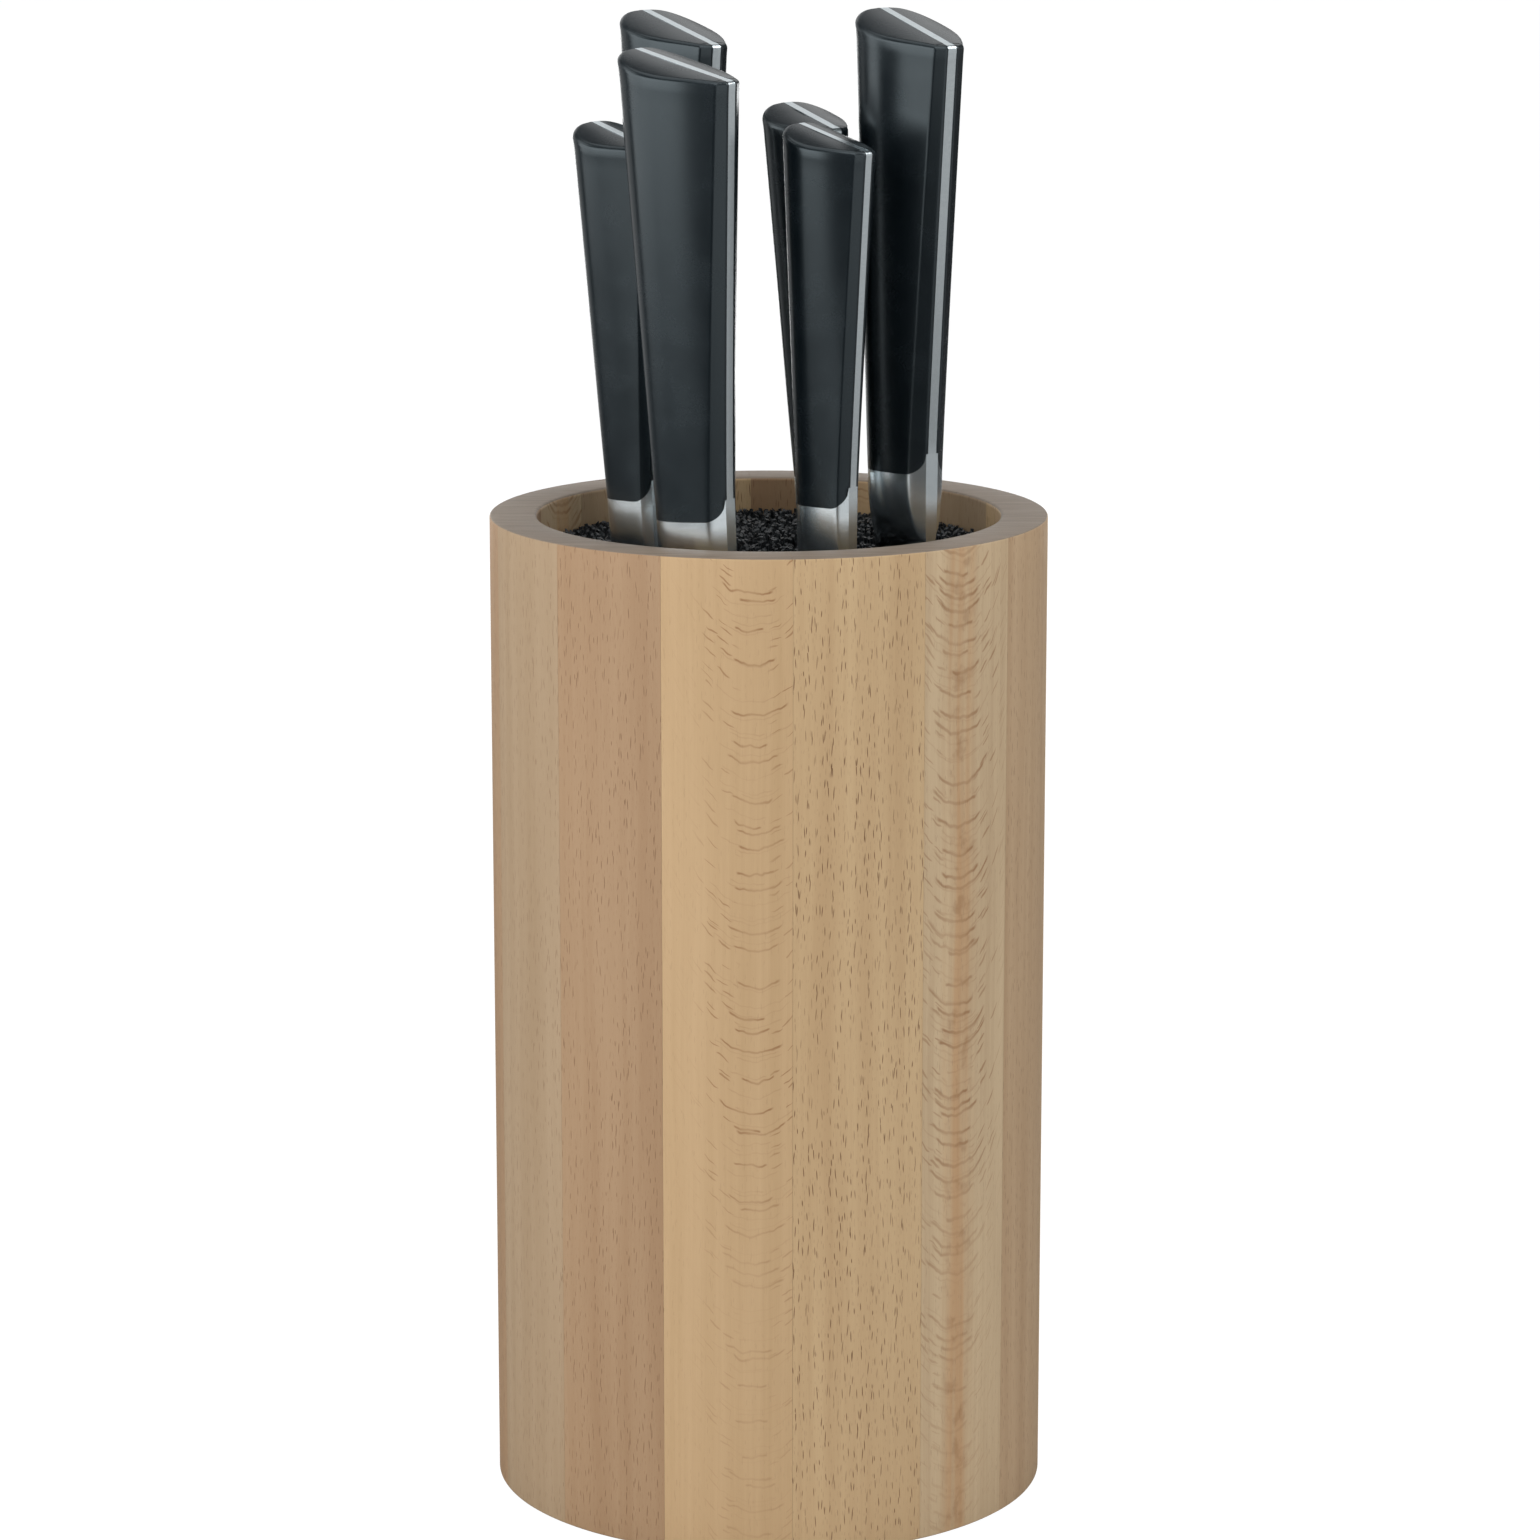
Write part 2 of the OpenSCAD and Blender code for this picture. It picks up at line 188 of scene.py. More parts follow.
class Tree:
    """A material's nodes, with short ways to add them."""

    def __init__(self, name):
        self.material = bpy.data.materials.new(name)
        self.material.use_nodes = True
        self.nodes = self.material.node_tree.nodes
        self.links = self.material.node_tree.links
        self.nodes.clear()
        self.shader = self.add("ShaderNodeBsdfPrincipled")
        output = self.add("ShaderNodeOutputMaterial")
        self.links.new(self.shader.outputs["BSDF"], output.inputs["Surface"])

    def add(self, kind, inputs=None, **props):
        node = self.nodes.new(kind)
        for key, value in props.items():
            setattr(node, key, value)
        for key, value in (inputs or {}).items():
            self.put(node.inputs[key], value)
        return node

    def put(self, socket, value):
        if isinstance(value, bpy.types.NodeSocket):
            self.links.new(value, socket)
        else:
            socket.default_value = value

    def set(self, name, value):
        self.put(self.shader.inputs[name], value)

    def math(self, operation, a, b=0.0):
        return self.add("ShaderNodeMath", {0: a, 1: b}, operation=operation).outputs[0]

    def ramp(self, value, low, high, to_low=0.0, to_high=1.0):
        """A smooth step from to_low at low to to_high at high."""
        node = self.add("ShaderNodeMapRange", {
            "Value": value, "From Min": low, "From Max": high,
            "To Min": to_low, "To Max": to_high,
        }, interpolation_type="SMOOTHSTEP")
        return node.outputs["Result"]

    def blend(self, factor, a, b):
        """The colour a share of the way from a to b."""
        node = self.add("ShaderNodeMix", data_type="RGBA")
        self.put(node.inputs[0], factor)
        self.put(node.inputs[6], a)
        self.put(node.inputs[7], b)
        return node.outputs[2]

    def combine(self, x, y, z=0.0):
        return self.add("ShaderNodeCombineXYZ", {0: x, 1: y, 2: z}).outputs[0]

    def split(self, vector):
        node = self.add("ShaderNodeSeparateXYZ", {0: vector})
        return node.outputs[0], node.outputs[1], node.outputs[2]

    def uv_mm(self, name):
        """The named UV map, whose units are metres, as millimetres."""
        uv = self.add("ShaderNodeUVMap", uv_map=name).outputs[0]
        x, y, _ = self.split(uv)
        return self.math("MULTIPLY", x, 1 / MM), self.math("MULTIPLY", y, 1 / MM)

    def object_mm(self):
        """Object coordinates in millimetres."""
        place = self.add("ShaderNodeTexCoord").outputs["Object"]
        return [self.math("MULTIPLY", c, 1 / MM) for c in self.split(place)]

    def noise(self, x, y, z=0.0, detail=2.0, rough=0.5):
        node = self.add("ShaderNodeTexNoise", {
            "Vector": self.combine(x, y, z), "Scale": 1.0, "Detail": detail,
            "Roughness": rough,
        })
        return node.outputs[0]

    def scaled(self, value, factor, offset=0.0):
        """The value times the factor, plus the offset."""
        node = self.add("ShaderNodeMath", {0: value, 1: factor, 2: offset},
                        operation="MULTIPLY_ADD")
        return node.outputs[0]

    def bump(self, height, distance, strength):
        return self.add("ShaderNodeBump", {"Height": height, "Distance": distance,
                                           "Strength": strength}).outputs[0]

    def flecks(self, x, y, cell, half, keep, seed):
        """Scattered ellipses of half size `half` mm, one to a cell of `cell` mm.

        Returns how dark each one is, from 0 to 1."""
        place = self.combine(self.scaled(x, 1 / cell[0], seed), self.scaled(y, 1 / cell[1]))
        voronoi = self.add("ShaderNodeTexVoronoi", {"Vector": place, "Scale": 1.0},
                           voronoi_dimensions="2D", feature="F1")
        away = self.add("ShaderNodeVectorMath", {0: place, 1: voronoi.outputs["Position"]},
                        operation="SUBTRACT").outputs[0]
        dx, dy, _ = self.split(away)
        red, green, _ = self.split(voronoi.outputs["Color"])
        reach = self.scaled(green, 0.9, 0.55)
        ex = self.math("POWER", self.math("ABSOLUTE", self.scaled(dx, cell[0] / half[0])), 2.0)
        ey = self.math("POWER", self.math("ABSOLUTE", self.math(
            "DIVIDE", self.scaled(dy, cell[1] / half[1]), reach)), 2.0)
        inside = self.ramp(self.math("ADD", ex, ey), 0.35, 1.25, 1.0, 0.0)
        kept = self.math("LESS_THAN", red, keep)
        return self.math("MULTIPLY", inside, kept)


# ---- Beech -----------------------------------------------------------------------------

class Figure:
    """How one stave's face looks. Colours are 8-bit, sizes are millimetres.

    pores is the strength of the short dark dashes and pore_half their half size. The
    bowed arcs lie about arc_at, out to arc_reach, arc_pitch apart; arc_bow is how fast
    they rise to the sides and arc_half their half thickness. ribbon is the strength of the
    orange band at ribbon_at. stripes is how much the growth streaks show."""

    def __init__(self, light, dark, pores, pore_half=(0.12, 1.0), arcs=0.0, arc_at=0.0,
                 arc_reach=7.0, arc_bow=0.062, arc_pitch=3.6, arc_half=0.2, ribbon=0.0,
                 ribbon_at=0.0, stripes=0.25):
        self.light = light
        self.dark = dark
        self.pores = pores
        self.pore_half = pore_half
        self.arcs = arcs
        self.arc_at = arc_at
        self.arc_reach = arc_reach
        self.arc_bow = arc_bow
        self.arc_pitch = arc_pitch
        self.arc_half = arc_half
        self.ribbon = ribbon
        self.ribbon_at = ribbon_at
        self.stripes = stripes


GRAIN_UV = "Grain"
ARC_COLOR = linear(138, 98, 62)
PORE_COLOR = linear(104, 70, 42)
RIBBON_COLOR = linear(178, 128, 78)


def arc_layer(tree, side, bowed, pitch, half, reach, keep, seed):
    """Bowed hairlines, one to each uneven step of the pitch, darker towards their ends."""
    step = tree.add("ShaderNodeTexVoronoi", {"W": tree.scaled(bowed, 1 / pitch, seed),
                                             "Scale": 1.0},
                    voronoi_dimensions="1D", feature="F1")
    red, green, blue = tree.split(step.outputs["Color"])
    away = tree.scaled(step.outputs["Distance"], pitch)
    line = tree.ramp(away, 0.3 * half, 1.5 * half, 1.0, 0.0)
    offset = tree.math("SUBTRACT", side, tree.scaled(red, 0.5 * reach, -0.25 * reach))
    along = tree.math("DIVIDE", tree.math("ABSOLUTE", offset),
                      tree.scaled(green, 0.6 * reach, 0.4 * reach))
    within = tree.ramp(along, 0.85, 1.02, 1.0, 0.0)
    shade = tree.ramp(along, 0.2, 0.9, 0.5, 1.0)
    kept = tree.math("LESS_THAN", blue, keep)
    return tree.math("MULTIPLY", tree.math("MULTIPLY", line, within),
                     tree.math("MULTIPLY", shade, kept))


def beech(name, figure, seed):
    """Long-grain beech: growth streaks, short dark ray flecks, bowed arcs, ribbon figure."""
    tree = Tree(name)
    u, v = tree.uv_mm(GRAIN_UV)
    shift = seed * 37.0
    drift = tree.noise(tree.scaled(u, 0.03), tree.scaled(v, 0.012, shift), detail=1.0)
    x = tree.math("ADD", u, tree.scaled(drift, 3.0, -1.5))

    broad = tree.noise(tree.scaled(x, 0.16), tree.scaled(v, 0.005, shift), detail=2.0)
    streak = tree.noise(tree.scaled(x, 1.1), tree.scaled(v, 0.012, shift), 3.0, detail=3.0)
    fine = tree.noise(tree.scaled(x, 5.0), tree.scaled(v, 0.12, shift), 7.0, detail=2.0)
    tone = tree.math("ADD", tree.scaled(broad, 0.8),
                     tree.math("ADD", tree.scaled(streak, figure.stripes),
                               tree.scaled(fine, 0.25)))
    middle = 0.4 + 0.5 * figure.stripes + 0.125
    color = tree.blend(tree.ramp(tone, middle - 0.3, middle + 0.3), linear(*figure.dark),
                       linear(*figure.light))
    height = tree.scaled(fine, 0.25)

    if figure.ribbon:
        side = tree.math("SUBTRACT", x, figure.ribbon_at)
        band = tree.ramp(tree.math("ABSOLUTE", side), 1.0, 6.5, 1.0, 0.0)
        strips = tree.noise(tree.scaled(x, 0.42), tree.scaled(v, 0.008, shift + 5), 2.0,
                            detail=1.0)
        bowed = tree.math("SUBTRACT", v, tree.scaled(tree.math("MULTIPLY", side, side), 0.05))
        patch = tree.noise(tree.scaled(x, 0.2), tree.scaled(bowed, 0.15, shift), 1.0,
                           detail=3.0, rough=0.6)
        glow = tree.math("MULTIPLY", tree.ramp(strips, 0.38, 0.62, 0.3, 1.0), band)
        blot = tree.math("MULTIPLY", tree.ramp(patch, 0.5, 0.68), band)
        color = tree.blend(tree.scaled(glow, 0.45 * figure.ribbon), color, RIBBON_COLOR)
        color = tree.blend(tree.scaled(blot, 0.4 * figure.ribbon), color, ARC_COLOR)
    if figure.arcs:
        side = tree.math("SUBTRACT", u, figure.arc_at)
        bowed = tree.math("SUBTRACT", v, tree.scaled(
            tree.math("MULTIPLY", side, side), figure.arc_bow))
        wobble = tree.noise(tree.scaled(u, 0.22), tree.scaled(v, 0.1, shift), 4.0)
        bowed = tree.math("ADD", bowed, tree.scaled(wobble, 3.0, -1.5))
        bold = arc_layer(tree, side, bowed, figure.arc_pitch, figure.arc_half,
                         figure.arc_reach, 0.75, shift + 3)
        thin = arc_layer(tree, side, bowed, 0.6 * figure.arc_pitch, 0.6 * figure.arc_half,
                         1.3 * figure.arc_reach, 0.7, shift + 9)
        ticks = tree.flecks(side, bowed, (3.6, 2.6), (1.5, 0.8 * figure.arc_half), 0.5,
                            shift + 8)
        ring = tree.ramp(tree.math("ABSOLUTE", side), 0.3 * figure.arc_reach,
                         0.8 * figure.arc_reach)
        outer = tree.ramp(tree.math("ABSOLUTE", side), 1.2 * figure.arc_reach,
                          1.9 * figure.arc_reach, 1.0, 0.12)
        ticks = tree.math("MULTIPLY", ticks, tree.math("MULTIPLY", ring, outer))
        strongest = tree.noise(tree.scaled(u, 0.02), tree.scaled(v, 0.02, shift), 9.0)
        fade = tree.math("MULTIPLY", tree.ramp(strongest, 0.3, 0.6, 0.45, 1.0),
                         tree.ramp(v, 20.0, 110.0, 0.35, 1.0))
        marks = tree.math("MAXIMUM", bold, tree.math(
            "MAXIMUM", tree.scaled(thin, 0.3), tree.scaled(ticks, 0.8)))
        marks = tree.math("MULTIPLY", marks, fade)
        color = tree.blend(tree.scaled(marks, 0.85 * figure.arcs), color, ARC_COLOR)
        height = tree.math("SUBTRACT", height, tree.scaled(marks, 0.1))

    left = tree.math("ADD", x, tree.scaled(v, 0.05))
    right = tree.math("SUBTRACT", x, tree.scaled(v, 0.07))
    half_u, half_v = figure.pore_half
    pores = tree.flecks(left, v, (2.1, 4.4), (half_u, half_v), 0.85, shift)
    crossed = tree.flecks(right, v, (2.9, 5.0), (half_u, 1.2 * half_v), 0.75, shift + 13)
    small = tree.flecks(x, v, (0.9, 2.2), (0.7 * half_u, 0.6 * half_v), 0.8, shift + 20)
    dense = tree.noise(tree.scaled(x, 0.3), tree.scaled(v, 0.02, shift), 6.0, detail=2.0)
    amount = tree.ramp(dense, 0.3, 0.6, 0.35, 1.0)
    pore = tree.math("MAXIMUM", tree.math("MAXIMUM", pores, crossed), tree.scaled(small, 0.3))
    pore = tree.math("MULTIPLY", pore, amount)
    color = tree.blend(tree.scaled(pore, figure.pores), color, PORE_COLOR)
    height = tree.math("SUBTRACT", height, tree.scaled(pore, 0.5))

    tree.set("Base Color", color)
    tree.set("Roughness", tree.ramp(fine, 0.2, 0.8, 0.50, 0.62))
    tree.set("Normal", tree.bump(height, 0.00006, 0.6))
    tree.shader.inputs["Specular IOR Level"].default_value = 0.35
    return tree.material


def end_grain():
    """Sanded end grain of the rim: grey brown, with growth rings and fine vessels. The grey
    brown is partly the end grain's own darker tone and partly painted shade, for less light
    falling on the rim top.
    """
    tree = Tree("beech_end_grain")
    x, y, z = tree.object_mm()
    warp = tree.noise(tree.scaled(x, 0.05), tree.scaled(y, 0.05), tree.scaled(z, 0.01))
    rings = tree.noise(tree.scaled(x, 0.06), tree.scaled(y, 0.9), tree.scaled(warp, 2.0),
                       detail=2.0)
    speck = tree.noise(tree.scaled(x, 5.0), tree.scaled(y, 5.0), 1.0, detail=2.0)
    tone = tree.math("ADD", tree.scaled(rings, 0.6), tree.scaled(speck, 0.4))
    # Darker than the staves' sides: partly the end grain's own tone, partly painted shade of the
    # rim top
    color = tree.blend(tree.ramp(tone, 0.35, 0.65), linear(122, 108, 94), linear(140, 126, 111))
    tree.set("Base Color", color)
    tree.set("Roughness", tree.ramp(speck, 0.2, 0.8, 0.50, 0.62))
    tree.set("Normal", tree.bump(speck, 0.00005, 0.5))
    return tree.material


def base_wood():
    """Underside disc: one wide board of plainer beech."""
    tree = Tree("beech_base")
    x, y, _ = tree.object_mm()
    wave = tree.noise(tree.scaled(x, 0.03), tree.scaled(y, 0.02), 2.0)
    across = tree.math("ADD", x, tree.scaled(wave, 8.0, -4.0))
    streak = tree.noise(tree.scaled(across, 0.35), tree.scaled(y, 0.01), 1.0, detail=3.0)
    color = tree.blend(tree.ramp(streak, 0.3, 0.7), linear(184, 150, 114), linear(206, 174, 138))
    pores = tree.flecks(across, y, (1.3, 4.5), (0.14, 1.2), 0.8, 4.0)
    color = tree.blend(tree.scaled(pores, 0.4), color, PORE_COLOR)
    tree.set("Base Color", color)
    tree.set("Roughness", tree.ramp(streak, 0.2, 0.8, 0.52, 0.62))
    tree.set("Normal", tree.bump(tree.scaled(pores, -1.0), 0.00006, 0.6))
    return tree.material


# ---- Metal, plastic and rubber ---------------------------------------------------------

def satin_steel(name, light, dark, rough):
    """Satin steel, with fine grinding lines that run across the knife."""
    tree = Tree(name)
    x, y, z = tree.object_mm()
    lines = tree.noise(tree.scaled(x, 0.5), tree.scaled(y, 0.5), tree.scaled(z, 5.0),
                       detail=3.0, rough=0.6)
    cloud = tree.noise(tree.scaled(x, 0.10), tree.scaled(y, 0.10), tree.scaled(z, 0.10))
    color = tree.blend(tree.ramp(lines, 0.3, 0.7), linear(*dark), linear(*light))
    tree.set("Base Color", color)
    tree.shader.inputs["Metallic"].default_value = 1.0
    rough_mix = tree.math("ADD", tree.scaled(lines, 0.05), tree.scaled(cloud, 0.03))
    tree.set("Roughness", tree.math("ADD", rough_mix, rough - 0.04))
    tree.set("Normal", tree.bump(lines, 0.000001, 0.1))
    return tree.material


def acetal():
    """Satin black handle plastic, faintly blue, with a very fine moulded texture."""
    tree = Tree("handle_acetal")
    x, y, z = tree.object_mm()
    grain = tree.noise(tree.scaled(x, 5.0), tree.scaled(y, 5.0), tree.scaled(z, 5.0),
                       detail=2.0)
    cloud = tree.noise(tree.scaled(x, 0.12), tree.scaled(y, 0.12), tree.scaled(z, 0.12),
                       detail=2.0)
    color = tree.blend(tree.ramp(cloud, 0.3, 0.7), (0.0035, 0.0060, 0.0080, 1),
                       (0.0050, 0.0080, 0.0105, 1))
    tree.set("Base Color", color)
    tree.set("Roughness", tree.math("ADD", tree.ramp(cloud, 0.25, 0.75, 0.22, 0.26),
                                    tree.scaled(grain, 0.04)))
    tree.set("Normal", tree.bump(grain, 0.000004, 0.3))
    tree.shader.inputs["IOR"].default_value = 1.5
    tree.shader.inputs["Specular IOR Level"].default_value = 0.62
    tree.shader.inputs["Specular Tint"].default_value = (0.80, 0.94, 1.0, 1.0)
    return tree.material


def nylon():
    """Black bristles, a little paler and duller here and there."""
    tree = Tree("bristle_nylon")
    x, y, z = tree.object_mm()
    vary = tree.noise(tree.scaled(x, 0.9), tree.scaled(y, 0.9), tree.scaled(z, 0.02),
                      detail=2.0)
    color = tree.blend(tree.ramp(vary, 0.35, 0.7), linear(15, 17, 19), linear(40, 45, 48))
    tree.set("Base Color", color)
    tree.set("Roughness", tree.ramp(vary, 0.3, 0.7, 0.32, 0.5))
    return tree.material


def moulded(name, dark, light, rough):
    """Moulded plastic or rubber with a fine spark-eroded grain."""
    tree = Tree(name)
    x, y, z = tree.object_mm()
    grain = tree.noise(tree.scaled(x, 4.0), tree.scaled(y, 4.0), tree.scaled(z, 4.0),
                       detail=3.0, rough=0.6)
    tree.set("Base Color", tree.blend(tree.ramp(grain, 0.3, 0.7), linear(*dark),
                                      linear(*light)))
    tree.set("Roughness", tree.ramp(grain, 0.2, 0.8, rough - 0.06, rough + 0.06))
    tree.set("Normal", tree.bump(grain, 0.00003, 0.6))
    return tree.material


# ---- Staves ----------------------------------------------------------------------------

PINK = Figure((163, 134, 103), (151, 120, 89), 0.6)
TAN = Figure((165, 142, 114), (153, 129, 100), 0.5)
SMILE = Figure((188, 158, 120), (176, 146, 107), 0.12, pore_half=(0.09, 0.7), arcs=1.0,
               arc_at=6.2, arc_reach=7.5, arc_bow=0.052, arc_pitch=4.4, arc_half=0.26,
               stripes=0.35)
DASHED = Figure((193, 165, 126), (177, 147, 109), 0.95, pore_half=(0.105, 1.05))
RIBBON = Figure((193, 170, 137), (175, 150, 118), 0.25, pore_half=(0.09, 0.7), arcs=1.0,
                arc_at=-3.2, arc_reach=9.0, arc_bow=0.062, arc_pitch=3.1, arc_half=0.40,
                ribbon=1.0, ribbon_at=-3.0, stripes=0.45)
ROSY = Figure((184, 158, 126), (166, 137, 105), 0.6, pore_half=(0.10, 0.9))
STAVE_FIGURES = (SMILE, DASHED, RIBBON, ROSY, DASHED, TAN, SMILE, PINK, DASHED, TAN, RIBBON,
                 PINK, TAN, PINK)


OUTER_ROUND = 0.5
INNER_ROUND = 0.9
WALL_ROWS = 24
STAVE_COLUMNS = 20


def wall_outline():
    """Radius and height round the wall's section, with its edges rounded."""
    inner, outer = INNER_RADIUS, BLOCK_RADIUS
    top, bottom = BLOCK_HEIGHT, BASE_Z
    seat = bottom + BASE_THICKNESS
    points = []

    def arc(center_r, center_z, radius, start, end, steps):
        for i in range(steps + 1):
            a = math.radians(mix(start, end, i / steps))
            points.append((center_r + radius * math.cos(a), center_z + radius * math.sin(a)))

    points.append((inner, seat))
    points.append((inner + REBATE, seat))
    points.append((inner + REBATE, bottom))
    arc(outer - OUTER_ROUND, bottom + OUTER_ROUND, OUTER_ROUND, -90, 0, 4)
    for i in range(1, WALL_ROWS):
        points.append((outer, mix(bottom + OUTER_ROUND, top - OUTER_ROUND, i / WALL_ROWS)))
    arc(outer - OUTER_ROUND, top - OUTER_ROUND, OUTER_ROUND, 0, 90, 4)
    arc(inner + INNER_ROUND, top - INNER_ROUND, INNER_ROUND, 90, 180, 5)
    for i in range(1, WALL_ROWS):
        points.append((inner, mix(top - INNER_ROUND, seat, i / WALL_ROWS)))
    return points


def stave_mesh(name, start, width, materials):
    """One bevelled stave between two angles, with a hairline of glue at each joint."""
    outline = wall_outline()
    hairline = math.degrees(GLUE_LINE / BLOCK_RADIUS)
    bm = bmesh.new()
    grain = bm.loops.layers.uv.new(GRAIN_UV)
    middle = math.radians(start + width / 2)
    rings = []
    for i in range(STAVE_COLUMNS + 1):
        a = math.radians(mix(start + hairline, start + width - hairline, i / STAVE_COLUMNS))
        rings.append([bm.verts.new((r * math.cos(a), r * math.sin(a), z)) for r, z in outline])

    def paint(face):
        """Lays the grain along the stave, and end grain on level faces."""
        for loop in face.loops:
            place = loop.vert.co
            angle = math.atan2(place.y, place.x) - middle
            angle = (angle + math.pi) % (2 * math.pi) - math.pi
            radius = math.hypot(place.x, place.y)
            loop[grain].uv = (angle * radius * MM, place.z * MM)
        face.material_index = 1 if abs(face.normal.z) > 0.7 else 0

    count = len(outline)
    for near, far in zip(rings, rings[1:]):
        for j in range(count):
            k = (j + 1) % count
            face = bm.faces.new((near[j], near[k], far[k], far[j]))
            face.normal_update()
            paint(face)
    for ring in (rings[0], list(reversed(rings[-1]))):
        face = bm.faces.new(ring)
        face.normal_update()
        paint(face)
        face.material_index = 0
    return mesh_object(name, bm, materials)


def build_staves():
    """The fourteen staves, side by side round the block."""
    end = end_grain()
    start = STAVE_TURN
    for index, width in enumerate(STAVE_WIDTHS):
        number = f"{index + 1:02d}"
        side = beech(f"beech_{number}", STAVE_FIGURES[index], index + 1)
        piece = stave_mesh(f"stave_{number}_wood", start, width, [side, end])
        give(piece, "housing", f"stave_{number}")
        start += width


# ---- Foot pads -------------------------------------------------------------------------

def lathe(bm, outline, steps, center=(0.0, 0.0)):
    """Closed solid of revolution from a (radius, height) outline."""
    rings = []
    for i in range(steps):
        a = 2 * math.pi * i / steps
        rings.append([bm.verts.new((center[0] + r * math.cos(a), center[1] + r * math.sin(a), z))
                      for r, z in outline])
    for i in range(steps):
        near, far = rings[i], rings[(i + 1) % steps]
        for j in range(len(outline) - 1):
            bm.faces.new((near[j], near[j + 1], far[j + 1], far[j]))
    for end in (0, -1):
        if outline[end][0] > 0:
            bm.faces.new([ring[end] for ring in rings])


PAD_ROUND = 0.45
GROOVE_RADII = (5.6, 3.4)
GROOVE_DEPTH = 0.25


def build_feet():
    """Four pads with a rounded rim and two shallow grooves in the sole."""
    rubber = moulded("pad_silicone", (24, 24, 25), (38, 38, 40), 0.62)
    flat = FOOT_RADIUS - PAD_ROUND
    outline = [(FOOT_RADIUS, FOOT_TOP), (FOOT_RADIUS, PAD_ROUND)]
    for i in range(1, 5):
        a = math.radians(90 * i / 5)
        outline.append((flat + PAD_ROUND * math.cos(a), PAD_ROUND - PAD_ROUND * math.sin(a)))
    outline.append((flat, 0.0))
    for groove in GROOVE_RADII:
        outline += [(groove + 2 * GROOVE_DEPTH, 0.0), (groove + GROOVE_DEPTH, GROOVE_DEPTH),
                    (groove - GROOVE_DEPTH, GROOVE_DEPTH), (groove - 2 * GROOVE_DEPTH, 0.0)]
    for index in range(4):
        a = math.radians(45 + 90 * index)
        bm = bmesh.new()
        lathe(bm, outline, 48, (FOOT_CIRCLE * math.cos(a), FOOT_CIRCLE * math.sin(a)))
        piece = mesh_object(f"foot_pad_{index + 1}", bm, [rubber])
        give(piece, "housing", f"foot_{index + 1}")


# ---- Knife sections --------------------------------------------------------------------

def share(s, bevel):
    """Share of the width at a station, when the bevel takes the given share."""
    if s <= BEVEL_END:
        return bevel * s / BEVEL_END
    if s <= THICKEST:
        return mix(bevel, THICKEST, (s - BEVEL_END) / (THICKEST - BEVEL_END))
    return s


def half_thickness(s, half, spine, crest):
    """Half thickness across the section, from the spine (0) to the belly (1)."""
    if s <= BEVEL_END:
        return mix(spine, crest, s / BEVEL_END)
    if s <= THICKEST:
        rise = (s - BEVEL_END) / (THICKEST - BEVEL_END)
        return mix(crest, half, math.sin(math.pi / 2 * rise))
    fall = (s - THICKEST) / (1 - THICKEST)
    return mix(0.3 * half, half, math.sqrt(max(0.0, 1 - fall * fall)))


def width_at(size, t):
    """Width of the handle at a share of the way from the bolster to the butt."""
    return mix(size.width, size.butt_width, t ** 1.15)


def half_at(size, t):
    """Half the handle's greatest thickness at a share of its length."""
    return mix(size.half, size.butt_half, t ** 0.9)


def spine_x(size, t):
    """How far the spine stands out from the knife's axis."""
    return size.width / 2 + (width_at(size, t) - size.width) * SPINE_FLARE


def share_at(size, t, s):
    """Share of the width at station s, where the handle's own bevel is taken."""
    return share(s, mix(size.bevel, size.butt_bevel, t) / width_at(size, t))


def thickness_at(size, t, s):
    """Half thickness of the handle; the crease beside the bevel is a little rounded."""
    spine = size.tang + TANG_LAND
    crest = spine + mix(size.rise, size.butt_rise, t)
    total = 0.0
    for offset, weight in ((-CREASE_SOFT, 1), (0.0, 2), (CREASE_SOFT, 1)):
        place = min(1.0, max(0.0, s + offset))
        total += weight * half_thickness(place, half_at(size, t), spine, crest)
    soft = total / 4
    near = max(0.0, 1 - abs(s - BEVEL_END) / (2 * CREASE_SOFT))
    exact = half_thickness(s, half_at(size, t), spine, crest)
    return mix(exact, min(soft, exact), near)


def bolster_reach(size, f):
    """How far down the bolster goes at a share of the width."""
    return mix(size.reach_spine, size.reach_belly, f ** 1.5)


def shoulder_z(size, f):
    """Height where the scale meets the bolster, rounded up at the spine."""
    s = min(f * size.width / CORNER_WIDTH, 1.0)
    return BOLSTER_HEIGHT + CORNER_HEIGHT * (1 - math.sqrt(max(0.0, 1 - (1 - s) ** 2)))


def butt_z(size, f, y):
    """Height of the slanted, domed butt."""
    slant = f * size.butt_width * math.tan(BUTT_SLANT)
    return BOLSTER_HEIGHT + size.length + slant - BUTT_DOME * (y / size.butt_half) ** 2


def handle_z(size, f, t, y):
    """Height between the shoulder and the butt."""
    return mix(shoulder_z(size, f) + GLUE_LINE, butt_z(size, f, y), t)


def stations():
    """Shares across the section, closer together where it turns."""
    corner = [BEVEL_END * i / 10 for i in range(12)]
    face = [mix(BEVEL_END, THICKEST, 0.08 + 0.92 * i / 12) for i in range(12)]
    belly = [mix(THICKEST, 1.0, math.sin(math.radians(90 * i / 12))) for i in range(13)]
    return corner + face + belly


STATIONS = stations()


def frame_of(place, turn, lean):
    """Matrix from a knife's own frame to the block's, in millimetres."""
    up = Vector((lean[0], lean[1], 1.0)).normalized()
    flat = Vector((math.cos(math.radians(turn)), math.sin(math.radians(turn)), 0.0))
    spine = (flat - up * up.dot(flat)).normalized()
    side = up.cross(spine)
    return Matrix((
        (spine.x, side.x, up.x, place[0]),
        (spine.y, side.y, up.y, place[1]),
        (spine.z, side.z, up.z, place[2]),
        (0, 0, 0, 1),
    ))


# ---- Handle scales ---------------------------------------------------------------------

EDGE_ROUND = 1.1
TANG_CHAMFER = 0.10
HANDLE_ROWS = 30
ROUND_ROWS = 6
DOME_ROWS = 8


